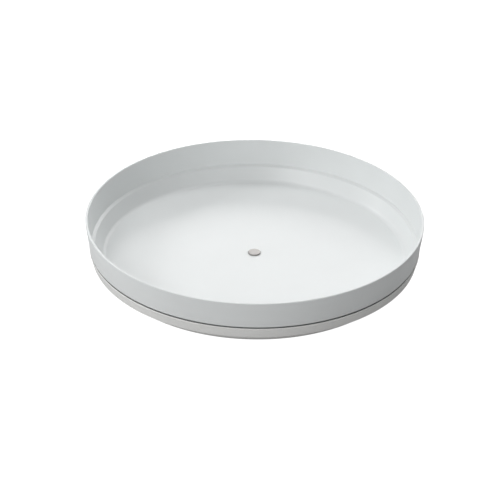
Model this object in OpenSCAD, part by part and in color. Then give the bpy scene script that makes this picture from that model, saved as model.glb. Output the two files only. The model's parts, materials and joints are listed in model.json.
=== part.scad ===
/* [Overall] */
// Outer diameter of the tray at its rim
tray_d = 300; // [240:1:400]
// Height from the table to the top of the rim
total_h = 46.5; // [36:0.5:80]

/* [Tray] */
// Thickness of the tray's upper wall
tray_wall = 2.3; // [1.6:0.1:2.6]
// Thickness of the tray's nested wall, below the ledge
nest_wall = 2; // [1.6:0.1:2.4]
// Thickness of the tray's floor
tray_floor = 1.9; // [1.5:0.1:3]
// Lean of the upper wall, outwards from the vertical
rim_lean = 7.8; // [2:0.2:12]
// Height of the ledge's upper edge above the bottom of the upper wall
ledge_lift = 1.3; // [1.1:0.1:2]
// Fall of the ledge inwards, down from the horizontal
ledge_fall = 32; // [28:1:40]
// Lean of the nested wall, outwards from the vertical
nest_lean = 30; // [28:0.5:33]
// Radius of the round where the nested wall meets the floor
cove_r = 5; // [4:0.5:8]
// Radius that breaks the edges of the rim
lip_r = 0.7; // [0.3:0.1:0.75]
// Radial clearance between the rivet's head and its seat in the floor
head_seat_play = 0.7; // [0.3:0.1:1.5]
// Depth of that seat
head_seat_h = 0.4; // [0.2:0.1:0.6]

/* [Base dish] */
// Height of the base dish's rim above the table
base_h = 20.3; // [16.9:0.1:26]
// Height of the wall's lower edge, where the tuck starts, above the table
band_z = 10.9; // [9.5:0.1:11.5]
// Thickness of the base dish's walls
base_wall = 1.8; // [1.5:0.1:2.2]
// Thickness of the base dish's floor
base_floor = 1.9; // [1.5:0.1:2.4]
// Lean of the base dish's wall, outwards from the vertical
dish_lean = 14.5; // [12:0.5:17]
// Height of the open seam between the tray's wall and the base dish's rim
seam_gap = 1.4; // [0.8:0.1:2]
// Radial clearance of the tray's nested wall inside the base dish's rim
nest_gap = 1.7; // [1.4:0.1:2.2]
// Distance that the base dish's rim stands out past the tray's wall
rim_step = 0.5; // [0:0.1:1.2]
// Width of the chamfer inside that rim
rim_chamfer = 1; // [0.5:0.1:1.2]
// Rise of the tuck, the cone that joins the wall to the floor, up from the table
tuck_lean = 39; // [37:0.5:41]
// Radius of the rounds inside the base dish, at the top and the foot of the tuck
dish_cove_r = 4; // [2:0.5:6]

/* [Drum under the base dish] */
// Diameter of the raised plate in the middle of the base dish
drum_d = 164; // [100:1:168]
// Clear space between the raised plate and the tray
plate_gap = 1.2; // [1:0.1:1.8]
// Diameter of the hub round the rivet
hub_d = 24; // [22:0.5:32]
// Number of ribs under the raised plate
rib_count = 8; // [4:1:16]
// Thickness of the ribs
rib_t = 2; // [1.2:0.1:3]
// Diameter of the ring rib that crosses them
ring_rib_d = 92; // [60:1:96]

/* [Bearing] */
// Number of steel balls
ball_count = 12; // [6:1:16]
// Diameter of a ball
ball_d = 5; // [4.1:0.1:6.5]
// Diameter of the ring that the balls run on
race_d = 190; // [184:1:206]
// Depth of the running groove in the tray and in the base dish
groove_h = 0.65; // [0.4:0.05:0.8]
// Running clearance between a ball and its grooves
race_play = 0.05; // [0.02:0.01:0.1]
// Clearance between a ball and its pocket
pocket_play = 0.1; // [0.05:0.01:0.1]
// Width of the cage ring between the pockets
cage_w = 5; // [4:0.5:8]
// Thickness of the cage ring
cage_t = 1.8; // [1.4:0.1:2]
// Wall of the cage round a pocket
pocket_wall = 2; // [1.2:0.1:3]

/* [Pivot] */
// Diameter of the rivet's shank
shank_d = 5; // [4:0.1:6]
// Diameter of the rivet's head
head_d = 11; // [10.8:0.1:13]
// Thickness of the rivet's head
head_h = 1.4; // [1:0.1:2]
// Radius of the rivet head's edge
head_edge_r = 0.5; // [0.2:0.1:0.8]
// Diameter of the rivet's closed end
tail_d = 7.6; // [7.2:0.1:9]
// Thickness of the rivet's closed end
tail_h = 0.7; // [0.5:0.1:0.8]
// Height of the closed end above the base dish's underside
tail_inset = 0.15; // [0.1:0.05:0.3]
// Radial clearance between the shank and the bush
bush_play = 0.05; // [0.02:0.01:0.1]
// Wall thickness of the bush
bush_wall = 1.5; // [1:0.1:1.6]
// Diameter of the bush's flange
bush_flange_d = 14; // [12:0.1:18]
// Thickness of the bush's flange
bush_flange_h = 0.6; // [0.5:0.1:0.7]
// Play of the tray between the thrust washer and the rivet's head
end_play = 0.1; // [0.05:0.01:0.2]
// Diameter of the thrust washer
thrust_d = 15; // [12:0.1:18]
// Thickness of the thrust washer
thrust_h = 0.7; // [0.5:0.1:0.8]
// Diameter of the backing washer
backing_d = 12; // [10:0.1:14]
// Thickness of the backing washer
backing_h = 0.7; // [0.5:0.1:0.8]
// Radial clearance of the washers on the shank and in their seats
washer_play = 0.1; // [0.05:0.05:0.3]

/* [Feet] */
// Number of feet
foot_count = 6; // [3:1:8]
// Diameter of a foot
foot_d = 13; // [10:0.5:15]
// Diameter of the ring that the feet stand on
foot_ring_d = 228; // [218:1:234]
// Height that the feet lift the base dish off the table
foot_lift = 1.1; // [0.8:0.1:1.3]
// Depth of a foot's socket in the base dish
foot_socket_h = 0.7; // [0.4:0.1:0.8]
// Radial clearance between a foot and its socket
foot_play = 0.05; // [0.02:0.01:0.1]
// Radius of the edge round a foot
foot_edge_r = 0.5; // [0.2:0.1:0.6]

/* [Hidden] */
$fn = 96;
// Steps in the arc of a rounded corner of an outline
arc_steps = 6;
// Radius of the small rounds on moulded edges, and of those on turned ones
edge_r = 0.4;
turned_edge_r = 0.15;
// Distance that a cut or a rib runs past the face that it meets
past = 0.5;

rim_r = tray_d / 2;
race_r = race_d / 2;
ball_r = ball_d / 2;
shank_r = shank_d / 2;
foot_r = foot_d / 2;
drum_r = drum_d / 2;
hub_r = hub_d / 2;

// Heights, from the table upwards
dish_floor_z = foot_lift + base_floor;
ball_z = dish_floor_z - groove_h + race_play + ball_r;
tray_under_z = ball_z + ball_r + race_play - groove_h;
tray_floor_z = tray_under_z + tray_floor;
plate_top_z = tray_under_z - plate_gap;
plate_under_z = plate_top_z - base_floor;
step_z = base_h + seam_gap;
ledge_z = step_z + ledge_lift;
thrust_seat_z = tray_under_z - bush_flange_h - end_play - thrust_h;
tail_z = foot_lift + tail_inset;
backing_z = tail_z + tail_h;
hub_under_z = backing_z + backing_h;
head_seat_z = tray_floor_z - head_seat_h;
head_z = head_seat_z + end_play;
bush_r = shank_r + bush_play + bush_wall;
head_seat_r = head_d / 2 + head_seat_play;

// Radius of the upper wall's outer face, and of its inner face, at a height
function upper_out(z) = rim_r - (total_h - z) * tan(rim_lean);
function upper_in(z) = upper_out(z) - tray_wall / cos(rim_lean);

// Radius of the base dish's wall, outside and inside, at a height
dish_rim_r = upper_out(step_z) + rim_step;
function dish_out(z) = dish_rim_r - (base_h - z) * tan(dish_lean);
function dish_in(z) = dish_out(z) - base_wall / cos(dish_lean);

// Radius of the tuck, outside and inside, at a height
function tuck_out(z) = dish_out(band_z) - (band_z - z) / tan(tuck_lean);
function tuck_in(z) = tuck_out(z) - base_wall / sin(tuck_lean);

// Height at which the wall meets the tuck on the inside
tuck_top_z = (dish_in(0) - tuck_in(0)) / (1 / tan(tuck_lean) - tan(dish_lean));

// Radius of the tray's nested wall, outside and inside, at a height
nest_top_r = dish_in(base_h) - nest_gap;
function nest_out(z) = nest_top_r - (base_h - z) * tan(nest_lean);
function nest_in(z) = nest_out(z) - nest_wall / cos(nest_lean);

// Height and radius at which the ledge, falling inwards, meets the nested wall
ledge_foot_z = (nest_in(0) - upper_in(ledge_z) + ledge_z / tan(ledge_fall))
    / (1 / tan(ledge_fall) - tan(nest_lean));
ledge_foot_r = nest_in(ledge_foot_z);

function unit(v) = v / norm(v);

// The corner p of an outline, between the points a and b, as an arc of radius r
function corner(a, p, b, r) =
    let (
        u = unit(a - p),
        v = unit(b - p),
        half = acos(u * v) / 2,
        centre = p + unit(u + v) * r / sin(half),
        first = p + u * r / tan(half) - centre,
        turn = sign(first[0] * (p - centre)[1] - first[1] * (p - centre)[0]) * (180 - 2 * half)
    )
    [for (i = [0 : arc_steps])
        let (t = turn * i / arc_steps)
        centre + [first[0] * cos(t) - first[1] * sin(t), first[0] * sin(t) + first[1] * cos(t)]];

// An outline from a list of [x, z, radius], with each corner rounded by its own radius
function outline(points) =
    let (n = len(points))
    [for (i = [0 : n - 1])
        let (
            xy = function(k) [points[(k + n) % n][0], points[(k + n) % n][1]],
            r = points[i][2]
        )
        each (r > 0 ? corner(xy(i - 1), xy(i), xy(i + 1), r) : [xy(i)])];

module turned(points) {
    rotate_extrude() polygon(outline(points));
}

module washer(outer_d, hole_r, z, h) {
    turned([
        [hole_r, z, 0],
        [outer_d / 2, z, turned_edge_r],
        [outer_d / 2, z + h, turned_edge_r],
        [hole_r, z + h, 0]
    ]);
}

// The ring of space that the balls run through
module race() {
    rotate_extrude() translate([race_r, ball_z]) circle(r = ball_r + race_play);
}

module at_ball(i) {
    rotate(360 / ball_count * (i - 1)) translate([race_r, 0, ball_z]) children();
}

module at_foot(i) {
    rotate(360 / foot_count * (i - 1)) translate([foot_ring_d / 2, 0, 0]) children();
}

module tray() {
    color("#f2f2f0") difference() {
        turned([
            [bush_r, tray_under_z, 0],
            [nest_out(tray_under_z), tray_under_z, cove_r + nest_wall],
            [nest_out(step_z), step_z, 0],
            [upper_out(step_z), step_z, edge_r],
            [rim_r, total_h, lip_r],
            [upper_in(total_h), total_h, lip_r],
            [upper_in(ledge_z), ledge_z, edge_r],
            [ledge_foot_r, ledge_foot_z, edge_r],
            [nest_in(tray_floor_z), tray_floor_z, cove_r],
            [head_seat_r, tray_floor_z, 0],
            [head_seat_r, head_seat_z, 0],
            [bush_r, head_seat_z, 0]
        ]);
        race();
    }
}

module hub_bush() {
    color("#d8d6cf") turned([
        [shank_r + bush_play, tray_under_z - bush_flange_h, 0],
        [bush_flange_d / 2, tray_under_z - bush_flange_h, turned_edge_r],
        [bush_flange_d / 2, tray_under_z, 0],
        [bush_r, tray_under_z, 0],
        [bush_r, head_seat_z, 0],
        [shank_r + bush_play, head_seat_z, 0]
    ]);
}

module dish_shell() {
    thrust_seat_r = thrust_d / 2 + washer_play;
    turned([
        [shank_r, hub_under_z, 0],
        [hub_r - rib_t, hub_under_z, 0],
        [hub_r - rib_t, foot_lift, 0],
        [hub_r, foot_lift, 0],
        [hub_r, plate_under_z, 0],
        [drum_r - base_wall, plate_under_z, 0],
        [drum_r - base_wall, foot_lift, 0],
        [tuck_out(foot_lift), foot_lift, edge_r],
        [dish_out(band_z), band_z, edge_r],
        [dish_rim_r, base_h, edge_r],
        [dish_in(base_h) + rim_chamfer, base_h, 0],
        [dish_in(base_h - rim_chamfer), base_h - rim_chamfer, 0],
        [dish_in(tuck_top_z), tuck_top_z, dish_cove_r],
        [tuck_in(dish_floor_z), dish_floor_z, dish_cove_r],
        [drum_r, dish_floor_z, 0],
        [drum_r, plate_top_z, edge_r],
        [thrust_seat_r, plate_top_z, 0],
        [thrust_seat_r, thrust_seat_z, 0],
        [shank_r, thrust_seat_z, 0]
    ]);
}

// Radial ribs and a ring rib, from the raised plate down to just above the underside
module plate_ribs() {
    rib_z = foot_lift + tail_inset;
    rib_h = plate_under_z + past - rib_z;
    rib_length = drum_r - base_wall - hub_r + 2 * past;
    for (i = [0 : rib_count - 1])
        rotate(360 / rib_count * i)
            translate([hub_r - past, -rib_t / 2, rib_z]) cube([rib_length, rib_t, rib_h]);
    translate([0, 0, rib_z]) difference() {
        cylinder(d = ring_rib_d + rib_t, h = rib_h);
        translate([0, 0, -past]) cylinder(d = ring_rib_d - rib_t, h = rib_h + 2 * past);
    }
}

module base_dish() {
    color("#f0f0ee") difference() {
        union() {
            dish_shell();
            plate_ribs();
        }
        race();
        for (i = [1 : foot_count])
            at_foot(i) translate([0, 0, foot_lift - past])
                cylinder(r = foot_r + foot_play, h = foot_socket_h + past);
    }
}

module pivot_rivet() {
    color("#c9c8c6") turned([
        [0, tail_z, 0],
        [tail_d / 2, tail_z, turned_edge_r],
        [tail_d / 2, backing_z, turned_edge_r],
        [shank_r, backing_z, 0],
        [shank_r, head_z, 0],
        [head_d / 2, head_z, turned_edge_r],
        [head_d / 2, head_z + head_h, head_edge_r],
        [0, head_z + head_h, 0]
    ]);
}

module thrust_washer() {
    color("#b9bbbd") washer(thrust_d, shank_r + washer_play, thrust_seat_z, thrust_h);
}

module backing_washer() {
    color("#b9bbbd") washer(backing_d, shank_r + washer_play, backing_z, backing_h);
}

module ball_cage() {
    color("#e4e2da") difference() {
        union() {
            translate([0, 0, ball_z - cage_t / 2]) difference() {
                cylinder(r = race_r + cage_w / 2, h = cage_t);
                translate([0, 0, -past]) cylinder(r = race_r - cage_w / 2, h = cage_t + 2 * past);
            }
            for (i = [1 : ball_count])
                at_ball(i) cylinder(r = ball_r + pocket_play + pocket_wall, h = cage_t, center = true);
        }
        for (i = [1 : ball_count])
            at_ball(i) sphere(r = ball_r + pocket_play);
    }
}

module ball(i) {
    color("#c4c6c8") at_ball(i) sphere(r = ball_r);
}

module foot(i) {
    color("#8d8f90") at_foot(i) turned([
        [0, 0, 0],
        [foot_r, 0, foot_edge_r],
        [foot_r, foot_lift + foot_socket_h, 0],
        [0, foot_lift + foot_socket_h, 0]
    ]);
}

tray();
hub_bush();
base_dish();
pivot_rivet();
thrust_washer();
backing_washer();
ball_cage();
for (i = [1 : ball_count])
    ball(i);
for (i = [1 : foot_count])
    foot(i);
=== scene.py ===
"""Lazy susan turntable: a walled tray that spins on a caged ball race in a low base dish.

Every length is in metres. Heights and diameters that the frame knows are read from it, and the
sizes of walls, rounds and leans are properties. Round pieces are outlines, turned about Z.
"""

import json
import math

import bmesh
import bpy
from bpy.props import FloatProperty, FloatVectorProperty, IntProperty, PointerProperty
from mathutils import Matrix, Vector


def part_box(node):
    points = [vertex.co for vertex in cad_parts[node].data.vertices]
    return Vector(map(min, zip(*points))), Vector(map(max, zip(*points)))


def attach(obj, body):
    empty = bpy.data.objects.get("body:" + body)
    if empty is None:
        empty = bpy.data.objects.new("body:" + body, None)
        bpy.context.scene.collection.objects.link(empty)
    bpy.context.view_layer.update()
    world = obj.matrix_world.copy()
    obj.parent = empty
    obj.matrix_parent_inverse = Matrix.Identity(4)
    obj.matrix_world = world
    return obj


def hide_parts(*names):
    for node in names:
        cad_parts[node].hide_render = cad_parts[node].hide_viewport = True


bl_info = {
    "name": "Lazy susan turntable",
    "version": (1, 0, 0),
    "blender": (4, 5, 0),
    "location": "View3D > Sidebar > Turntable",
    "description": "Builds the looks of a ball-bearing lazy susan turntable round its CAD frame",
    "category": "Object",
}

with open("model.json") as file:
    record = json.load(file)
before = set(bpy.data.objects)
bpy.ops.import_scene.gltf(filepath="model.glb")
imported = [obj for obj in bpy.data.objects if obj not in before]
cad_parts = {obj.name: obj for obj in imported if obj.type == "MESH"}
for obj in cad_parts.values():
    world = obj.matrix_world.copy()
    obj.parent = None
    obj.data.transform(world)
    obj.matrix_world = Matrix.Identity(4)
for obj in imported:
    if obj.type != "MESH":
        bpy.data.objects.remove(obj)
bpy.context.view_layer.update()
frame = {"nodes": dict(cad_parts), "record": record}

MM = 0.001
PATH_RADIUS = 0.1  # circle that outlines are swept along; any radius gives the same shape
WELD = 1e-6  # points closer than this are one
SHARP_DEGREES = 35  # edges that turn by more than this are shaded sharp

ARC_STEPS = 6  # steps of a rounded corner
TRAY_ARC_STEPS = 8
FOOT_ARC_STEPS = 5
GROOVE_STEPS = 12  # steps of a ball groove's arc
BEVEL_STEPS = 3
BALL_RINGS = 24  # steps from pole to pole of a ball
PIVOT_SEGMENTS = 96  # steps round the rivet, the bush and the washers
FOOT_SEGMENTS = 64  # steps round a foot and its socket
TREAD_SHARES = (0.35, 0.65)  # inner radius of each tread groove, as a share of the foot's radius

SUPPORT_INSET = 0.12 * MM  # distance of the extra points from the ends of a flat face
LONG_FACE = 4 * SUPPORT_INSET  # faces longer than this get extra points


def box_of(node):
    """Radius, lowest and highest height of a CAD node that is centred on the Z axis."""
    low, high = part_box(node)
    return high.x, low.z, high.z


def middle_of(node):
    """Middle of a CAD node's box."""
    low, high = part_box(node)
    return (low + high) / 2


def nodes_named(stem):
    """CAD nodes called stem_1, stem_2 and so on, in order."""
    found = [n for n in frame["nodes"] if n.startswith(stem + "_") and n[len(stem) + 1:].isdigit()]
    return sorted(found, key=lambda n: int(n.rsplit("_", 1)[1]))


def body_of(node):
    """The body that a CAD node rides on."""
    bodies = frame["record"]["behaviour"]["bodies"]
    return next(body for body, members in bodies.items() if node in members)


def linear(hex_colour):
    """An sRGB hex colour as linear red, green and blue."""
    srgb = [int(hex_colour[i:i + 2], 16) / 255 for i in (1, 3, 5)]
    return [c / 12.92 if c <= 0.04045 else ((c + 0.055) / 1.055) ** 2.4 for c in srgb]


# ---------------------------------------------------------------- properties


def length(name, description, default, low=0.0, high=1.0):
    """A length property, in metres."""
    return FloatProperty(
        name=name, description=description, default=default, min=low, max=high,
        unit="LENGTH", subtype="DISTANCE", precision=5,
    )


def angle(name, description, degrees):
    """An angle property, given in degrees."""
    return FloatProperty(
        name=name, description=description, default=math.radians(degrees),
        unit="ROTATION", subtype="ANGLE",
    )


def colour(name, description, hex_colour):
    """A colour property, given as an sRGB hex value."""
    return FloatVectorProperty(
        name=name, description=description, default=linear(hex_colour),
        min=0, max=1, size=3, subtype="COLOR",
    )


class TurntableSizes(bpy.types.PropertyGroup):
    """Walls, rounds and leans of the moulded pieces."""

    rim_diameter: length("Rim diameter", "Outer diameter of the tray's rim", 300 * MM)
    tray_wall: length("Tray wall", "Thickness of the tray's upper wall", 2.3 * MM)
    nest_wall: length("Nested wall", "Thickness of the tray's wall below the ledge", 2 * MM)
    tray_floor: length("Tray floor", "Thickness of the tray's floor", 1.9 * MM)
    rim_lean: angle("Rim lean", "Outward lean of the upper wall", 7.8)
    ledge_lift: length("Ledge lift", "Height of the ledge above the upper wall's lower edge", 1.3 * MM)
    ledge_fall: angle("Ledge fall", "Fall of the ledge inwards from the horizontal", 32)
    nest_lean: angle("Nested wall lean", "Outward lean of the nested wall", 30)
    cove: length("Cove", "Round where the nested wall meets the tray's floor", 5 * MM)
    lip: length("Lip", "Round on the edges of the rim", 0.7 * MM)
    head_seat_play: length("Head seat play", "Clearance round the rivet's head", 0.7 * MM)
    base_wall: length("Base wall", "Thickness of the base dish's walls", 1.8 * MM)
    base_floor: length("Base floor", "Thickness of the base dish's floor", 1.9 * MM)
    dish_lean: angle("Dish lean", "Outward lean of the base dish's wall", 14.5)
    seam_gap: length("Seam", "Open height between the tray's wall and the base dish", 1.4 * MM)
    nest_gap: length("Nest gap", "Clearance of the nested wall inside the base dish's rim", 1.7 * MM)
    rim_step: length("Rim step", "How far the base dish's rim stands out past the tray", 0.5 * MM)
    rim_chamfer: length("Rim chamfer", "Chamfer inside the base dish's rim", 1 * MM)
    band_height: length("Band height", "Height of the wall's lower edge, where the tuck starts", 10.9 * MM)
    tuck_lean: angle("Tuck lean", "Rise of the cone that joins the wall to the floor", 39)
    dish_cove: length("Dish cove", "Rounds inside the base dish", 4 * MM)
    edge: length("Edge", "Round on the moulded edges", 0.4 * MM)
    small_edge: length("Small edge", "Round on turned and stamped edges", 0.15 * MM)
    step_edge: length("Step edge", "Round where the nested wall meets the step", 0.1 * MM)
    seat_edge: length("Seat edge", "Round in the corner of the rivet's seat", 0.08 * MM)
    drum_diameter: length("Drum diameter", "Diameter of the raised plate", 164 * MM)
    plate_gap: length("Plate gap", "Space between the raised plate and the tray", 1.2 * MM)
    hub_diameter: length("Hub diameter", "Diameter of the hub round the rivet", 24 * MM)
    ring_rib_diameter: length("Ring rib diameter", "Diameter of the ring rib", 92 * MM)
    rib_thickness: length("Rib thickness", "Thickness of the ribs", 2 * MM)
    rib_sink: length("Rib sink", "How far a rib reaches into the walls that it joins", 0.3 * MM)
    rib_count: IntProperty(name="Ribs", description="Ribs under the raised plate", default=8, min=1)
    segments: IntProperty(
        name="Segments", description="Steps round a large turned piece", default=288, min=24,
    )


class TurntablePivot(bpy.types.PropertyGroup):
    """Rivet, bush, washers, balls and feet."""

    shank_diameter: length("Shank diameter", "Diameter of the rivet's shank", 5 * MM)
    head_thickness: length("Head thickness", "Thickness of the rivet's head", 1.4 * MM)
    head_edge: length("Head edge", "Round on the rivet's head", 0.5 * MM)
    shank_edge: length("Shank edge", "Round in the shank's inner corners", 0.08 * MM)
    tail_diameter: length("Tail diameter", "Diameter of the rivet's closed end", 7.6 * MM)
    tail_thickness: length("Tail thickness", "Thickness of the rivet's closed end", 0.7 * MM)
    bush_play: length("Bush play", "Clearance of the shank in the bush", 0.05 * MM)
    bush_wall: length("Bush wall", "Wall thickness of the bush", 1.5 * MM)
    washer_play: length("Washer play", "Clearance of the washers", 0.1 * MM)
    ball_play: length("Ball play", "Clearance of a ball in its grooves", 0.05 * MM)
    socket_depth: length("Socket depth", "Depth of a foot's socket", 0.7 * MM)
    foot_play: length("Foot play", "Clearance of a foot in its socket", 0.05 * MM)
    foot_edge: length("Foot edge", "Round on a foot's small edges", 0.06 * MM)
    foot_round: length("Foot round", "Round on a foot's lower edge", 0.5 * MM)
    tread_depth: length("Tread depth", "Depth of the grooves under a foot", 0.15 * MM)
    tread_width: length("Tread width", "Width of the grooves under a foot", 0.6 * MM)


class TurntableColours(bpy.types.PropertyGroup):
    """Colours of the materials."""

    tray: colour("Tray", "White polypropylene of the tray", "#ECEFEF")
    base: colour("Base", "White polypropylene of the base dish", "#F3F3F1")
    nylon: colour("Nylon", "Natural nylon of the bush and the thrust washer", "#E3E0D6")
    acetal: colour("Acetal", "Natural acetal of the ball cage", "#EBE9E1")
    nickel: colour("Nickel", "Nickel plate of the rivet", "#B3B0AE")
    zinc: colour("Zinc", "Zinc plate of the backing washer", "#BFC3C7")
    bearing: colour("Bearing steel", "Hardened steel of the balls", "#C6C8CA")
    rubber: colour("Rubber", "Grey rubber of the feet", "#6F7274")


class TurntableStage(bpy.types.PropertyGroup):
    """Camera, floor and studio lights."""

    camera_elevation: angle("Elevation", "Height of the camera above the horizon", 29.94)
    camera_roll: angle("Roll", "Turn of the camera about its own line of sight", -0.84)
    camera_distance: length("Distance", "Distance of the camera from the rim's centre", 1.8, high=20)
    camera_lens: FloatProperty(
        name="Lens", description="Focal length on a 36 mm sensor, in mm", default=146.4, unit="CAMERA",
    )
    aim_right: length("Aim right", "Aim point, right of the rim's centre", -4.3 * MM, low=-1)
    aim_down: length("Aim down", "Aim point, below the rim's centre", 30.35 * MM, low=-1)
    floor_colour: colour("Floor", "Pale studio floor", "#BDBDBD")


# ---------------------------------------------------------------- outlines


def rounded_corner(before, corner, after, radius, steps):
    """Points of the arc that replaces a corner."""
    u = (before - corner).normalized()
    v = (after - corner).normalized()
    half = math.acos(max(-1.0, min(1.0, u.dot(v)))) / 2
    centre = corner + (u + v).normalized() * radius / math.sin(half)
    first = corner + u * radius / math.tan(half) - centre
    to_corner = corner - centre
    turn = math.copysign(math.pi - 2 * half, first.x * to_corner.y - first.y * to_corner.x)
    arc = []
    for i in range(steps + 1):
        c, s = math.cos(turn * i / steps), math.sin(turn * i / steps)
        arc.append(centre + Vector((first.x * c - first.y * s, first.x * s + first.y * c)))
    return arc


def with_supports(points, closed):
    """Adds a point near both ends of each long edge, so that a flat face stays flat when shaded."""
    out = []
    last = len(points) if closed else len(points) - 1
    for i in range(last):
        a, b = points[i], points[(i + 1) % len(points)]
        out.append(a)
        if (b - a).length > LONG_FACE:
            step = (b - a).normalized() * SUPPORT_INSET
            out += [a + step, b - step]
    if not closed:
        out.append(points[-1])
    return out


def outline(corners, closed=True, steps=ARC_STEPS):
    """An outline from (radius, height, round) corners. An open one starts and ends on the axis."""
    points = []
    count = len(corners)
    for i, (r, z, radius) in enumerate(corners):
        here = Vector((r, z))
        if radius <= 0:
            points.append(here)
            continue
        before = Vector(corners[i - 1][:2])
        after = Vector(corners[(i + 1) % count][:2])
        points += rounded_corner(before, here, after, radius, steps)
    return with_supports(points, closed)


def groove(centre_r, centre_z, radius, level):
    """Corners of a round groove that a flat face at the given height has, from the axis outwards."""
    rise = level - centre_z
    reach = math.sqrt(radius ** 2 - rise ** 2)
    start = math.atan2(rise, -reach)
    end = math.atan2(rise, reach)
    corners = []
    for i in range(GROOVE_STEPS + 1):
        turn = start + (end - start) * i / GROOVE_STEPS
        corners.append((centre_r + radius * math.cos(turn), centre_z + radius * math.sin(turn), 0))
    return corners


# ---------------------------------------------------------------- node trees


def add_node(tree, kind, inputs=None, **settings):
    """Adds a node with its settings, and gives its inputs their values or their links."""
    node = tree.nodes.new(kind)
    for name, value in settings.items():
        setattr(node, name, value)
    for key, value in (inputs or {}).items():
        if isinstance(value, bpy.types.NodeSocket):
            tree.links.new(value, node.inputs[key])
        else:
            node.inputs[key].default_value = value
    return node


def new_geometry_tree(name, sockets):
    """A Geometry Nodes tree with a geometry in and out, and the given named inputs."""
    tree = bpy.data.node_groups.new(name, "GeometryNodeTree")
    tree.interface.new_socket("Geometry", in_out="INPUT", socket_type="NodeSocketGeometry")
    tree.interface.new_socket("Geometry", in_out="OUTPUT", socket_type="NodeSocketGeometry")
    for label, kind in sockets:
        tree.interface.new_socket(label, in_out="INPUT", socket_type=kind)
    return tree, add_node(tree, "NodeGroupInput")


def end_geometry_tree(tree, geometry, source):
    """Ends a tree in Realize Instances and Set Material."""
    real = add_node(tree, "GeometryNodeRealizeInstances", {"Geometry": geometry})
    painted = add_node(
        tree, "GeometryNodeSetMaterial",
        {"Geometry": real.outputs[0], "Material": source.outputs["Material"]},
    )
    add_node(tree, "NodeGroupOutput", {"Geometry": painted.outputs[0]})


def turning_tree():
    """Sweeps an outline round a circle: X of the outline is outwards and Y is downwards."""
    tree, source = new_geometry_tree("Turn about axis", [
        ("Segments", "NodeSocketInt"),
        ("Path Radius", "NodeSocketFloat"),
        ("Material", "NodeSocketMaterial"),
    ])
    profile = add_node(tree, "GeometryNodeMeshToCurve", {"Mesh": source.outputs["Geometry"]})
    path = add_node(tree, "GeometryNodeCurvePrimitiveCircle", {
        "Resolution": source.outputs["Segments"],
        "Radius": source.outputs["Path Radius"],
    })
    swept = add_node(tree, "GeometryNodeCurveToMesh", {
        "Curve": path.outputs[0],
        "Profile Curve": profile.outputs[0],
    })
    welded = add_node(tree, "GeometryNodeMergeByDistance", {
        "Geometry": swept.outputs[0],
        "Distance": WELD,
    })
    end_geometry_tree(tree, welded.outputs[0], source)
    return tree


def ring_tree():
    """Puts copies of a piece round the Z axis."""
    tree, source = new_geometry_tree("Copies in a ring", [
        ("Count", "NodeSocketInt"),
        ("Ring Radius", "NodeSocketFloat"),
        ("Material", "NodeSocketMaterial"),
    ])
    offset = add_node(tree, "ShaderNodeCombineXYZ", {"X": source.outputs["Ring Radius"]})
    placed = add_node(tree, "GeometryNodeTransform", {
        "Geometry": source.outputs["Geometry"],
        "Translation": offset.outputs[0],
    })
    points = add_node(tree, "GeometryNodePoints", {"Count": source.outputs["Count"]})
    share = add_node(tree, "ShaderNodeMath", {
        0: add_node(tree, "GeometryNodeInputIndex").outputs[0],
        1: source.outputs["Count"],
    }, operation="DIVIDE")
    turn = add_node(tree, "ShaderNodeMath", {0: share.outputs[0], 1: math.tau}, operation="MULTIPLY")
    rotation = add_node(tree, "ShaderNodeCombineXYZ", {"Z": turn.outputs[0]})
    copies = add_node(tree, "GeometryNodeInstanceOnPoints", {
        "Points": points.outputs[0],
        "Instance": placed.outputs[0],
        "Rotation": rotation.outputs[0],
    })
    end_geometry_tree(tree, copies.outputs[0], source)
    return tree


def shared_tree(name, maker):
    """The tree of that name, made on first use."""
    return bpy.data.node_groups.get(name) or maker()


def evaluated_mesh(piece):
    """The piece's mesh with its modifiers applied."""
    graph = bpy.context.evaluated_depsgraph_get()
    return bpy.data.meshes.new_from_object(piece.evaluated_get(graph))


def run_tree(piece, tree, **inputs):
    """Runs a tree on a piece, keeps the plain mesh and removes the modifier."""
    modifier = piece.modifiers.new(tree.name, "NODES")
    modifier.node_group = tree
    sockets = {s.name: s.identifier for s in tree.interface.items_tree if s.in_out == "INPUT"}
    for label, value in inputs.items():
        modifier[sockets[label.replace("_", " ")]] = value
    made = evaluated_mesh(piece)
    piece.modifiers.remove(modifier)
    piece.data = made
    made.name = piece.name


def new_object(name, data):
    """An object at the scene's origin that shows a mesh, a lamp or a camera."""
    made = bpy.data.objects.new(name, data)
    bpy.context.scene.collection.objects.link(made)
    return made


def finish_surface(piece):
    """Welds the mesh, turns its faces outwards and shades it smooth up to an angle."""
    bm = bmesh.new()
    bm.from_mesh(piece.data)
    bmesh.ops.remove_doubles(bm, verts=bm.verts, dist=WELD)
    bmesh.ops.recalc_face_normals(bm, faces=bm.faces)
    bm.to_mesh(piece.data)
    bm.free()
    piece.data.shade_smooth()
    piece.data.set_sharp_from_angle(angle=math.radians(SHARP_DEGREES))


def turned_piece(name, points, material, segments, closed=True):
    """A solid of revolution about Z from an outline of (radius, height) points."""
    count = len(points)
    edges = [(i, (i + 1) % count) for i in range(count if closed else count - 1)]
    mesh = bpy.data.meshes.new(name)
    mesh.from_pydata([(p.x - PATH_RADIUS, -p.y, 0) for p in points], edges, [])
    piece = new_object(name, mesh)
    run_tree(
        piece, shared_tree("Turn about axis", turning_tree),
        Segments=segments, Path_Radius=PATH_RADIUS, Material=material,
    )
    finish_surface(piece)
    return piece


def ring_of(name, piece, material, count, radius):
    """Copies of a piece round the Z axis, as one mesh."""
    piece.name = name
    run_tree(
        piece, shared_tree("Copies in a ring", ring_tree),
        Count=count, Ring_Radius=radius, Material=material,
    )
    return piece


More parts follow.
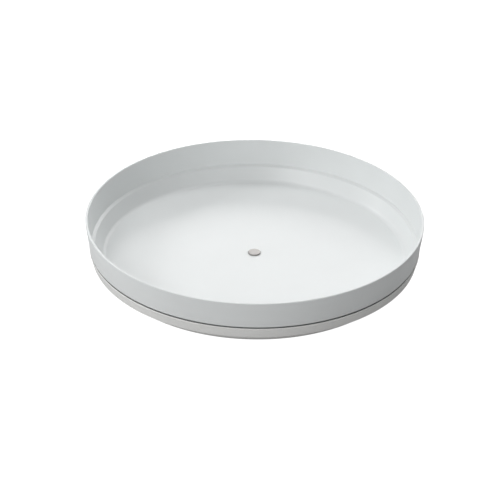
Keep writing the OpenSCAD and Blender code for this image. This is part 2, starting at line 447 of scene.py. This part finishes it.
def bar(name, low, high, edge):
    """A bar between two corners, with its edges broken."""
    bm = bmesh.new()
    bmesh.ops.create_cube(bm, size=1)
    size = Vector(high) - Vector(low)
    middle = (Vector(high) + Vector(low)) / 2
    bmesh.ops.scale(bm, vec=size, verts=bm.verts)
    bmesh.ops.translate(bm, vec=middle, verts=bm.verts)
    bmesh.ops.bevel(
        bm, geom=bm.edges[:], offset=edge, segments=BEVEL_STEPS, profile=0.5, affect="EDGES",
    )
    mesh = bpy.data.meshes.new(name)
    bm.to_mesh(mesh)
    bm.free()
    return new_object(name, mesh)


def cut_away(piece, cutter):
    """Cuts one mesh out of another and drops the cutter."""
    modifier = piece.modifiers.new("Cut", "BOOLEAN")
    modifier.operation = "DIFFERENCE"
    modifier.solver = "EXACT"
    modifier.object = cutter
    made = evaluated_mesh(piece)
    piece.modifiers.remove(modifier)
    piece.data = made
    bpy.data.objects.remove(cutter)
    finish_surface(piece)


def hand_over(piece, slot, body, *nodes):
    """Parents a finished piece to its body and hides the CAD nodes that it stands for. The slot is not used.
    """
    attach(piece, body)
    if nodes:
        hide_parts(*nodes)


# ---------------------------------------------------------------- materials

MIDDLE = {"From Min": 0.3, "From Max": 0.7}  # where most of a noise texture's values lie
MIX_A, MIX_B, MIX_RESULT = 6, 7, 2  # colour sockets of a Mix node, whose names are not unique


def empty_tree(owner):
    """The node tree of a material or a world, with nothing in it."""
    owner.use_nodes = True
    owner.node_tree.nodes.clear()
    return owner.node_tree


def new_material(name):
    """A material with its empty tree and a socket of object coordinates."""
    material = bpy.data.materials.new(name)
    tree = empty_tree(material)
    return material, tree, add_node(tree, "ShaderNodeTexCoord").outputs["Object"]


def end_material(tree, inputs):
    """Ends a tree in a Principled shader with the given inputs."""
    shader = add_node(tree, "ShaderNodeBsdfPrincipled", inputs)
    add_node(tree, "ShaderNodeOutputMaterial", {"Surface": shader.outputs[0]})


def toned(base, share=1.0):
    """The colour times a share, as a socket takes it."""
    return (*(min(1, c * share) for c in base), 1)


def moulded_plastic(name, base, gloss, tone=0.985, ior=1.49):
    """Injection-moulded plastic: an even colour, faint flow clouds and the tool's spark-eroded grain.

    The grain of a real tool is about 0.05 mm across. It is drawn coarser, so that it shows.
    """
    cloud_size = 40 * MM
    grain_size = 0.45 * MM
    grain_depth = 0.006 * MM
    gloss_range = 0.03
    material, tree, place = new_material(name)
    flow = add_node(tree, "ShaderNodeTexNoise", {"Vector": place, "Scale": 1 / cloud_size})
    clouds = add_node(tree, "ShaderNodeMapRange", {"Value": flow.outputs["Fac"], **MIDDLE})
    colours = {0: clouds.outputs[0], MIX_A: toned(base, tone), MIX_B: toned(base)}
    tint = add_node(tree, "ShaderNodeMix", colours, data_type="RGBA")
    grain = add_node(tree, "ShaderNodeTexNoise", {
        "Vector": place, "Scale": 1 / grain_size, "Detail": 3.0, "Roughness": 0.6,
    }).outputs["Fac"]
    satin = add_node(tree, "ShaderNodeMapRange", {
        "Value": grain, **MIDDLE, "To Min": gloss - gloss_range, "To Max": gloss + gloss_range,
    })
    bumps = add_node(tree, "ShaderNodeBump", {"Height": grain, "Distance": grain_depth})
    end_material(tree, {
        "Base Color": tint.outputs[MIX_RESULT], "Roughness": satin.outputs[0],
        "Normal": bumps.outputs[0], "IOR": ior,
    })
    return material


def turned_nickel(name, base):
    """Nickel-plated steel, lathe-turned: satin, with fine rings round the axis.

    Real tool marks are about 0.1 mm apart. They are drawn coarser, so that they show.
    """
    pitch = 0.35 * MM
    mark_depth = 0.004 * MM
    wear_size = 1.2 * MM
    material, tree, place = new_material(name)
    split = add_node(tree, "ShaderNodeSeparateXYZ", {"Vector": place}).outputs
    flat = add_node(tree, "ShaderNodeCombineXYZ", {"X": split["X"], "Y": split["Y"]})
    radius = add_node(tree, "ShaderNodeVectorMath", {0: flat.outputs[0]}, operation="LENGTH")
    turns = add_node(tree, "ShaderNodeMath", {
        0: radius.outputs["Value"], 1: math.tau / pitch,
    }, operation="MULTIPLY")
    rings = add_node(tree, "ShaderNodeMath", {0: turns.outputs[0]}, operation="SINE")
    wear = add_node(tree, "ShaderNodeTexNoise", {
        "Vector": place, "Scale": 1 / wear_size,
    }).outputs["Fac"]
    patches = add_node(tree, "ShaderNodeMapRange", {"Value": wear, **MIDDLE})
    colours = {0: patches.outputs[0], MIX_A: toned(base, 0.9), MIX_B: toned(base)}
    tint = add_node(tree, "ShaderNodeMix", colours, data_type="RGBA")
    satin = add_node(tree, "ShaderNodeMapRange", {
        "Value": wear, **MIDDLE, "To Min": 0.46, "To Max": 0.56,
    })
    marks = add_node(tree, "ShaderNodeBump", {"Height": rings.outputs[0], "Distance": mark_depth})
    end_material(tree, {
        "Base Color": tint.outputs[MIX_RESULT], "Roughness": satin.outputs[0],
        "Normal": marks.outputs[0], "Metallic": 1.0,
    })
    return material


def spangled_zinc(name, base):
    """Zinc-plated steel: crystal patches that differ a little in tone and in shine."""
    spangle_size = 1.6 * MM
    skin_size = 0.2 * MM
    skin_depth = 0.003 * MM
    material, tree, place = new_material(name)
    cells = add_node(tree, "ShaderNodeTexVoronoi", {"Vector": place, "Scale": 1 / spangle_size})
    cell = add_node(tree, "ShaderNodeSeparateXYZ", {"Vector": cells.outputs["Color"]}).outputs["X"]
    colours = {0: cell, MIX_A: toned(base, 0.82), MIX_B: toned(base)}
    tint = add_node(tree, "ShaderNodeMix", colours, data_type="RGBA")
    shine = add_node(tree, "ShaderNodeMapRange", {"Value": cell, "To Min": 0.32, "To Max": 0.46})
    skin = add_node(tree, "ShaderNodeTexNoise", {"Vector": place, "Scale": 1 / skin_size})
    bumps = add_node(tree, "ShaderNodeBump", {
        "Height": skin.outputs["Fac"], "Distance": skin_depth,
    })
    end_material(tree, {
        "Base Color": tint.outputs[MIX_RESULT], "Roughness": shine.outputs[0],
        "Normal": bumps.outputs[0], "Metallic": 1.0,
    })
    return material


def bearing_steel(name, base):
    """Hardened and polished bearing steel: near mirror, with a light haze from rolling."""
    haze_size = 0.8 * MM
    material, tree, place = new_material(name)
    haze = add_node(tree, "ShaderNodeTexNoise", {
        "Vector": place, "Scale": 1 / haze_size, "Detail": 4.0,
    }).outputs["Fac"]
    patches = add_node(tree, "ShaderNodeMapRange", {"Value": haze, **MIDDLE})
    colours = {0: patches.outputs[0], MIX_A: toned(base, 0.95), MIX_B: toned(base)}
    tint = add_node(tree, "ShaderNodeMix", colours, data_type="RGBA")
    polish = add_node(tree, "ShaderNodeMapRange", {
        "Value": haze, **MIDDLE, "To Min": 0.08, "To Max": 0.16,
    })
    end_material(tree, {
        "Base Color": tint.outputs[MIX_RESULT], "Roughness": polish.outputs[0], "Metallic": 1.0,
    })
    return material


def moulded_rubber(name, base):
    """Compression-moulded rubber: matt, with a dusty bloom and a fine pitted skin."""
    bloom_size = 3 * MM
    pit_size = 0.25 * MM
    pit_depth = 0.03 * MM
    material, tree, place = new_material(name)
    dust = add_node(tree, "ShaderNodeTexNoise", {
        "Vector": place, "Scale": 1 / bloom_size, "Detail": 3.0,
    })
    bloom = add_node(tree, "ShaderNodeMapRange", {"Value": dust.outputs["Fac"], **MIDDLE})
    colours = {0: bloom.outputs[0], MIX_A: toned(base), MIX_B: toned(base, 1.25)}
    tint = add_node(tree, "ShaderNodeMix", colours, data_type="RGBA")
    pits = add_node(tree, "ShaderNodeTexNoise", {
        "Vector": place, "Scale": 1 / pit_size, "Detail": 3.0,
    }).outputs["Fac"]
    matt = add_node(tree, "ShaderNodeMapRange", {
        "Value": pits, **MIDDLE, "To Min": 0.72, "To Max": 0.88,
    })
    bumps = add_node(tree, "ShaderNodeBump", {"Height": pits, "Distance": pit_depth})
    end_material(tree, {
        "Base Color": tint.outputs[MIX_RESULT], "Roughness": matt.outputs[0],
        "Normal": bumps.outputs[0], "IOR": 1.52,
    })
    return material


def material_named(name, maker, *args, **kwargs):
    """The material of that name, made on first use."""
    return bpy.data.materials.get(name) or maker(name, *args, **kwargs)


# ---------------------------------------------------------------- shapes shared by two pieces


class Heights:
    """Radii and heights that the tray and the base dish share, from the frame and the sizes."""

    def __init__(self, sizes, pivot):
        self.sizes = sizes
        _, self.tray_under, self.rim = box_of("tray")
        _, self.underside, self.dish_rim = box_of("base_dish")
        self.bush_r = pivot.shank_diameter / 2 + pivot.bush_play + pivot.bush_wall
        self.shank_r = pivot.shank_diameter / 2
        _, self.bush_low, self.head_seat = box_of("hub_bush")
        self.thrust_r, self.thrust_seat, _ = box_of("thrust_washer")
        self.head_r, self.tail, self.head_top = box_of("pivot_rivet")
        _, _, self.hub_under = box_of("backing_washer")
        self.tray_floor = self.tray_under + sizes.tray_floor
        self.dish_floor = self.underside + sizes.base_floor
        self.plate_top = self.tray_under - sizes.plate_gap
        self.plate_under = self.plate_top - sizes.base_floor
        self.step = self.dish_rim + sizes.seam_gap
        self.ledge = self.step + sizes.ledge_lift
        self.rim_r = sizes.rim_diameter / 2
        self.dish_rim_r = self.upper_out(self.step) + sizes.rim_step
        ball = middle_of("ball_1")
        self.race_r = math.hypot(ball.x, ball.y)
        self.ball_z = ball.z
        self.groove_r = (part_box("ball_1")[1].z - ball.z) + pivot.ball_play

    def upper_out(self, z):
        """Outer radius of the tray's upper wall at a height."""
        return self.rim_r - (self.rim - z) * math.tan(self.sizes.rim_lean)

    def upper_in(self, z):
        """Inner radius of the tray's upper wall at a height."""
        return self.upper_out(z) - self.sizes.tray_wall / math.cos(self.sizes.rim_lean)

    def dish_out(self, z):
        """Outer radius of the base dish's wall at a height."""
        return self.dish_rim_r - (self.dish_rim - z) * math.tan(self.sizes.dish_lean)

    def dish_in(self, z):
        """Inner radius of the base dish's wall at a height."""
        return self.dish_out(z) - self.sizes.base_wall / math.cos(self.sizes.dish_lean)

    def tuck_out(self, z):
        """Outer radius at a height of the cone that joins the base dish's wall to its floor."""
        band_z = self.sizes.band_height
        return self.dish_out(band_z) - (band_z - z) / math.tan(self.sizes.tuck_lean)

    def tuck_in(self, z):
        """Inner radius of that cone at a height."""
        return self.tuck_out(z) - self.sizes.base_wall / math.sin(self.sizes.tuck_lean)

    def tuck_top(self):
        """Height where the base dish's wall meets that cone on the inside."""
        rise = 1 / math.tan(self.sizes.tuck_lean) - math.tan(self.sizes.dish_lean)
        return (self.dish_in(0) - self.tuck_in(0)) / rise

    def nest_out(self, z):
        """Outer radius of the tray's nested wall at a height."""
        top_r = self.dish_in(self.dish_rim) - self.sizes.nest_gap
        return top_r - (self.dish_rim - z) * math.tan(self.sizes.nest_lean)

    def nest_in(self, z):
        """Inner radius of the tray's nested wall at a height."""
        return self.nest_out(z) - self.sizes.nest_wall / math.cos(self.sizes.nest_lean)

    def ledge_foot(self):
        """Radius and height where the ledge, falling inwards, meets the nested wall."""
        run = 1 / math.tan(self.sizes.ledge_fall)
        rise = self.nest_in(0) - self.upper_in(self.ledge) + self.ledge * run
        z = rise / (run - math.tan(self.sizes.nest_lean))
        return self.nest_in(z), z


def heights():
    """The shared radii and heights for the scene's own sizes."""
    scene = bpy.context.scene
    return Heights(scene.turntable_sizes, scene.turntable_pivot)


# ---------------------------------------------------------------- operators


class TURNTABLE_OT_tray(bpy.types.Operator):
    """Turns the tray: upper wall, ledge, nested wall, floor, rivet seat and ball groove"""

    bl_idname = "turntable.tray"
    bl_label = "Tray"

    def execute(self, context):
        h, sizes = heights(), context.scene.turntable_sizes
        seat_r = h.head_r + sizes.head_seat_play
        foot_r, foot_z = h.ledge_foot()
        corners = [
            (h.bush_r, h.tray_under, 0),
            *groove(h.race_r, h.ball_z, h.groove_r, h.tray_under),
            (h.nest_out(h.tray_under), h.tray_under, sizes.cove + sizes.nest_wall),
            (h.nest_out(h.step), h.step, sizes.step_edge),
            (h.upper_out(h.step), h.step, sizes.edge),
            (h.rim_r, h.rim, sizes.lip),
            (h.upper_in(h.rim), h.rim, sizes.lip),
            (h.upper_in(h.ledge), h.ledge, sizes.edge),
            (foot_r, foot_z, sizes.edge),
            (h.nest_in(h.tray_floor), h.tray_floor, sizes.cove),
            (seat_r, h.tray_floor, sizes.small_edge),
            (seat_r, h.head_seat, sizes.seat_edge),
            (h.bush_r, h.head_seat, 0),
        ]
        plastic = material_named(
            "Polypropylene, white, satin moulded", moulded_plastic,
            context.scene.turntable_colours.tray, gloss=0.33,
        )
        piece = turned_piece(
            "tray_shell", outline(corners, steps=TRAY_ARC_STEPS), plastic, sizes.segments,
        )
        hand_over(piece, "white_tray_plastic", body_of("tray"), "tray")
        return {"FINISHED"}


class TURNTABLE_OT_base_dish(bpy.types.Operator):
    """Turns the base dish, cuts its foot sockets and adds the ribs under its raised plate"""

    bl_idname = "turntable.base_dish"
    bl_label = "Base dish"

    def shell_corners(self, h, sizes, pivot):
        """Corners of the dish's outline, from the hub outwards underneath and back on top."""
        hub_r = sizes.hub_diameter / 2
        drum_r = sizes.drum_diameter / 2
        inner_rim_r = h.dish_in(h.dish_rim) + sizes.rim_chamfer
        chamfer_z = h.dish_rim - sizes.rim_chamfer
        seat_r = h.thrust_r + pivot.washer_play
        small = sizes.small_edge
        return [
            (h.shank_r, h.hub_under, 0),
            (hub_r - sizes.rib_thickness, h.hub_under, small),
            (hub_r - sizes.rib_thickness, h.underside, small),
            (hub_r, h.underside, small),
            (hub_r, h.plate_under, small),
            (drum_r - sizes.base_wall, h.plate_under, small),
            (drum_r - sizes.base_wall, h.underside, small),
            (h.tuck_out(h.underside), h.underside, sizes.edge),
            (h.dish_out(sizes.band_height), sizes.band_height, sizes.edge),
            (h.dish_rim_r, h.dish_rim, sizes.edge),
            (inner_rim_r, h.dish_rim, small),
            (h.dish_in(chamfer_z), chamfer_z, small),
            (h.dish_in(h.tuck_top()), h.tuck_top(), sizes.dish_cove),
            (h.tuck_in(h.dish_floor), h.dish_floor, sizes.dish_cove),
            *reversed(groove(h.race_r, h.ball_z, h.groove_r, h.dish_floor)),
            (drum_r, h.dish_floor, small),
            (drum_r, h.plate_top, sizes.edge),
            (seat_r, h.plate_top, small / 2),
            (seat_r, h.thrust_seat, small / 2),
            (h.shank_r, h.thrust_seat, 0),
        ]

    def cut_sockets(self, shell, material, h, pivot):
        """Cuts a socket for each foot."""
        feet = nodes_named("foot")
        middle = middle_of(feet[0])
        socket_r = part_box(feet[0])[1].x - middle.x + pivot.foot_play
        top = h.underside + pivot.socket_depth
        below = h.underside - pivot.socket_depth
        corners = [(0, below, 0), (socket_r, below, 0), (socket_r, top, 0), (0, top, 0)]
        cutter = turned_piece(
            "socket_cutter", outline(corners, closed=False), material, FOOT_SEGMENTS, closed=False,
        )
        ring_of("socket_cutter", cutter, material, len(feet), middle.x)
        cut_away(shell, cutter)

    def execute(self, context):
        sizes, pivot = context.scene.turntable_sizes, context.scene.turntable_pivot
        h = heights()
        plastic = material_named(
            "Polypropylene, white, base grade", moulded_plastic,
            context.scene.turntable_colours.base, gloss=0.42,
        )
        corners = self.shell_corners(h, sizes, pivot)
        shell = turned_piece("base_dish_shell", outline(corners), plastic, sizes.segments)
        self.cut_sockets(shell, plastic, h, pivot)
        hand_over(shell, "white_base_plastic", body_of("base_dish"), "base_dish")

        hub_r = sizes.hub_diameter / 2
        drum_r = sizes.drum_diameter / 2
        half = sizes.rib_thickness / 2
        rib_top = h.plate_under + sizes.rib_sink
        ribs = bar(
            "plate_ribs",
            (hub_r - sizes.rib_sink, -half, h.tail),
            (drum_r - sizes.base_wall + sizes.rib_sink, half, rib_top),
            sizes.small_edge,
        )
        ring_of("plate_ribs", ribs, plastic, sizes.rib_count, 0)
        finish_surface(ribs)
        hand_over(ribs, "white_base_plastic", body_of("base_dish"))

        ring_r = sizes.ring_rib_diameter / 2
        ring = turned_piece("ring_rib", outline([
            (ring_r - half, h.tail, sizes.small_edge),
            (ring_r + half, h.tail, sizes.small_edge),
            (ring_r + half, rib_top, sizes.small_edge),
            (ring_r - half, rib_top, sizes.small_edge),
        ]), plastic, sizes.segments // 2)
        hand_over(ring, "white_base_plastic", body_of("base_dish"))
        return {"FINISHED"}


class TURNTABLE_OT_pivot(bpy.types.Operator):
    """Turns the rivet, the bush and the two washers"""

    bl_idname = "turntable.pivot"
    bl_label = "Rivet, bush and washers"

    def execute(self, context):
        h, pivot = heights(), context.scene.turntable_pivot
        small = context.scene.turntable_sizes.small_edge
        tones = context.scene.turntable_colours
        nickel = material_named("Steel, nickel plated, turned", turned_nickel, tones.nickel)
        nylon = material_named(
            "Nylon, natural", moulded_plastic, tones.nylon, gloss=0.46, ior=1.53, tone=0.96,
        )
        zinc = material_named("Steel, zinc plated", spangled_zinc, tones.zinc)

        head_low = h.head_top - pivot.head_thickness
        tail_top = h.tail + pivot.tail_thickness
        rivet = turned_piece("rivet", outline([
            (0, h.tail, 0),
            (pivot.tail_diameter / 2, h.tail, small),
            (pivot.tail_diameter / 2, tail_top, small),
            (h.shank_r, tail_top, pivot.shank_edge),
            (h.shank_r, head_low, pivot.shank_edge),
            (h.head_r, head_low, small),
            (h.head_r, h.head_top, pivot.head_edge),
            (0, h.head_top, 0),
        ], closed=False), nickel, PIVOT_SEGMENTS, closed=False)
        hand_over(rivet, "rivet_steel", body_of("pivot_rivet"), "pivot_rivet")

        bore_r = h.shank_r + pivot.bush_play
        flange_r = box_of("hub_bush")[0]
        bush = turned_piece("bush", outline([
            (bore_r, h.bush_low, small),
            (flange_r, h.bush_low, small),
            (flange_r, h.tray_under, small),
            (h.bush_r, h.tray_under, 0),
            (h.bush_r, h.head_seat, 0),
            (bore_r, h.head_seat, small),
        ]), nylon, PIVOT_SEGMENTS)
        hand_over(bush, "nylon", body_of("hub_bush"), "hub_bush")

        hole_r = h.shank_r + pivot.washer_play
        washers = [("thrust_washer", nylon, "nylon"), ("backing_washer", zinc, "washer_steel")]
        for node, material, slot in washers:
            outer_r, low, high = box_of(node)
            washer = turned_piece(node + "_ring", outline([
                (hole_r, low, small),
                (outer_r, low, small),
                (outer_r, high, small),
                (hole_r, high, small),
            ]), material, PIVOT_SEGMENTS)
            hand_over(washer, slot, body_of(node), node)
        return {"FINISHED"}


class TURNTABLE_OT_bearing(bpy.types.Operator):
    """Makes the steel balls and smooths the cage that spaces them"""

    bl_idname = "turntable.bearing"
    bl_label = "Balls and cage"

    def execute(self, context):
        tones = context.scene.turntable_colours
        steel = material_named("Steel, bearing, polished", bearing_steel, tones.bearing)
        for node in nodes_named("ball"):
            middle = middle_of(node)
            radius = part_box(node)[1].z - middle.z
            turns = [math.pi * i / BALL_RINGS for i in range(BALL_RINGS + 1)]
            half_circle = [Vector((radius * math.sin(t), -radius * math.cos(t))) for t in turns]
            piece = turned_piece("steel_" + node, half_circle, steel, 2 * BALL_RINGS, closed=False)
            piece.data.transform(Matrix.Translation(middle))
            hand_over(piece, "ball_steel", body_of(node), node)

        acetal = material_named(
            "Acetal, natural", moulded_plastic, tones.acetal, gloss=0.38, ior=1.48, tone=0.97,
        )
        cage = new_object("cage_ring", frame["nodes"]["ball_cage"].data.copy())
        cage.data.materials.clear()
        cage.data.materials.append(acetal)
        finish_surface(cage)
        hand_over(cage, "cage_plastic", body_of("ball_cage"), "ball_cage")
        return {"FINISHED"}


class TURNTABLE_OT_feet(bpy.types.Operator):
    """Makes the rubber feet, with two grooves in each tread"""

    bl_idname = "turntable.feet"
    bl_label = "Feet"

    def execute(self, context):
        pivot = context.scene.turntable_pivot
        edge = pivot.foot_edge
        feet = nodes_named("foot")
        rubber = material_named(
            "Rubber, grey, moulded", moulded_rubber, context.scene.turntable_colours.rubber,
        )
        middle = middle_of(feet[0])
        low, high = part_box(feet[0])
        radius = high.x - middle.x
        deep = low.z + pivot.tread_depth
        corners = [(0, low.z, 0)]
        for share in TREAD_SHARES:
            inner = radius * share
            outer = inner + pivot.tread_width
            corners += [(inner, low.z, edge), (inner, deep, edge), (outer, deep, edge), (outer, low.z, edge)]
        corners += [(radius, low.z, pivot.foot_round), (radius, high.z, edge), (0, high.z, 0)]
        foot = turned_piece(
            "rubber_feet", outline(corners, closed=False, steps=FOOT_ARC_STEPS), rubber, FOOT_SEGMENTS,
            closed=False,
        )
        ring_of("rubber_feet", foot, rubber, len(feet), middle.x)
        finish_surface(foot)
        hand_over(foot, "foot_rubber", body_of(feet[0]), *feet)
        return {"FINISHED"}


# ---------------------------------------------------------------- stage

LIGHT_DISTANCE = 1.6  # metres from the middle of the table
FLOOR_REACH = 6  # metres from the middle of the floor to each side
SENSOR_WIDTH = 36  # mm
ROOM_LIGHT = 0.232  # light that the object gets from the room
FLOOR_GLOW = 0.06  # glow that the object gets from the floor, so that its underside is not black
WHITE = (1, 1, 1, 1)
SOFT_BOXES = (
    # name, azimuth and elevation in degrees, side in metres, power in watts
    ("left_edge", 105, 27, 0.3, 5.6),
    ("left", 60, 45, 0.7, 2.8),
    ("front_left_low", 30, 22, 0.7, 3.5),
    ("front_left_high", 30, 45, 0.7, 4.2),
    ("behind_low", 180, 22, 0.7, 4.5),
    ("behind_right_low", 210, 22, 0.7, 4.4),
    ("behind_right_high", 210, 45, 0.7, 2.1),
    ("behind_high", 180, 60, 0.4, 4.1),
)


class TURNTABLE_OT_stage(bpy.types.Operator):
    """Lays the pale floor, hangs the studio lights and sets the camera"""

    bl_idname = "turntable.stage"
    bl_label = "Stage"

    def add_floor(self, stage):
        """A wide pale floor, bright to the eye where the object shades it and clear from below."""
        bm = bmesh.new()
        bmesh.ops.create_grid(bm, x_segments=1, y_segments=1, size=FLOOR_REACH)
        mesh = bpy.data.meshes.new("floor")
        bm.to_mesh(mesh)
        bm.free()
        floor = new_object("floor", mesh)
        material = bpy.data.materials.new("Paper sweep, pale")
        tree = empty_tree(material)
        matt = add_node(tree, "ShaderNodeBsdfDiffuse", {"Color": (*stage.floor_colour, 1)})
        seen = add_node(tree, "ShaderNodeLightPath").outputs["Is Camera Ray"]
        strength = add_node(tree, "ShaderNodeMapRange", {"Value": seen, "To Min": FLOOR_GLOW, "To Max": 1.0})
        glow = add_node(
            tree, "ShaderNodeEmission", {"Color": WHITE, "Strength": strength.outputs[0]},
        )
        both = add_node(tree, "ShaderNodeAddShader", {0: matt.outputs[0], 1: glow.outputs[0]})
        from_below = add_node(tree, "ShaderNodeNewGeometry").outputs["Backfacing"]
        clear = add_node(tree, "ShaderNodeBsdfTransparent")
        paper = add_node(
            tree, "ShaderNodeMixShader", {0: from_below, 1: both.outputs[0], 2: clear.outputs[0]},
        )
        add_node(tree, "ShaderNodeOutputMaterial", {"Surface": paper.outputs[0]})
        mesh.materials.append(material)

    def add_room(self, scene):
        """A room that lights the object dimly and looks as pale as the floor."""
        world = bpy.data.worlds.new("studio")
        tree = empty_tree(world)
        dim = add_node(tree, "ShaderNodeBackground", {"Color": WHITE, "Strength": ROOM_LIGHT})
        pale = add_node(tree, "ShaderNodeBackground", {"Color": WHITE, "Strength": 1.0})
        seen = add_node(tree, "ShaderNodeLightPath").outputs["Is Camera Ray"]
        mixed = add_node(
            tree, "ShaderNodeMixShader", {0: seen, 1: dim.outputs[0], 2: pale.outputs[0]},
        )
        add_node(tree, "ShaderNodeOutputWorld", {"Surface": mixed.outputs[0]})
        scene.world = world

    def add_light(self, name, azimuth, elevation, size, power):
        """A square soft box that looks at the tray. Azimuth 0 is behind the camera, 90 to its left."""
        light = bpy.data.lights.new(name, "AREA")
        light.size = size
        light.energy = power
        lamp = new_object(name, light)
        a, e = math.radians(azimuth), math.radians(elevation)
        away = Vector((-math.sin(a) * math.cos(e), -math.cos(a) * math.cos(e), math.sin(e)))
        lamp.location = away * LIGHT_DISTANCE
        lamp.visible_camera = False
        lamp.rotation_euler = away.to_track_quat("Z", "Y").to_euler()

    def add_camera(self, stage):
        """The camera, aimed near the middle of the rim."""
        data = bpy.data.cameras.new("camera")
        data.sensor_width = SENSOR_WIDTH
        data.lens = stage.camera_lens
        e, roll = stage.camera_elevation, stage.camera_roll
        forward = Vector((0, math.cos(e), -math.sin(e)))
        level_right = Vector((1, 0, 0))
        level_down = Vector((0, -math.sin(e), -math.cos(e)))
        right = math.cos(roll) * level_right + math.sin(roll) * level_down
        down = math.cos(roll) * level_down - math.sin(roll) * level_right
        rim_centre = Vector((0, 0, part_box("tray")[1].z))
        aim = rim_centre + stage.aim_right * right + stage.aim_down * down
        camera = new_object("camera", data)
        turn = Matrix((right, -down, -forward)).transposed()
        camera.matrix_world = Matrix.Translation(aim - forward * stage.camera_distance) @ turn.to_4x4()
        bpy.context.scene.camera = camera

    def execute(self, context):
        stage = context.scene.turntable_stage
        self.add_floor(stage)
        for light in SOFT_BOXES:
            self.add_light(*light)
        self.add_room(context.scene)
        context.scene.view_settings.view_transform = "Standard"
        self.add_camera(stage)
        return {"FINISHED"}


class TURNTABLE_PT_panel(bpy.types.Panel):
    """Sizes, colours and steps of the turntable"""

    bl_idname = "TURNTABLE_PT_panel"
    bl_label = "Turntable"
    bl_space_type = "VIEW_3D"
    bl_region_type = "UI"
    bl_category = "Turntable"

    def draw(self, context):
        for step in STEPS:
            self.layout.operator(step.bl_idname)
        for group in GROUPS:
            settings = getattr(context.scene, group)
            box = self.layout.box()
            for name in settings.__annotations__:
                box.prop(settings, name)


STEPS = (
    TURNTABLE_OT_tray,
    TURNTABLE_OT_base_dish,
    TURNTABLE_OT_pivot,
    TURNTABLE_OT_bearing,
    TURNTABLE_OT_feet,
    TURNTABLE_OT_stage,
)
GROUPS = {
    "turntable_sizes": TurntableSizes,
    "turntable_pivot": TurntablePivot,
    "turntable_colours": TurntableColours,
    "turntable_stage": TurntableStage,
}


def register():
    """Registers the classes and gives the scene its settings."""
    for group in (*GROUPS.values(), *STEPS, TURNTABLE_PT_panel):
        bpy.utils.register_class(group)
    for name, group in GROUPS.items():
        setattr(bpy.types.Scene, name, PointerProperty(type=group))


def unregister():
    """Takes the settings and the classes away again."""
    for name in GROUPS:
        delattr(bpy.types.Scene, name)
    for group in reversed((*GROUPS.values(), *STEPS, TURNTABLE_PT_panel)):
        bpy.utils.unregister_class(group)


def main():
    """Builds every piece and the stage."""
    register()
    for step in STEPS:
        group, name = step.bl_idname.split(".")
        getattr(getattr(bpy.ops, group), name)()


if __name__ == "__main__":
    main()
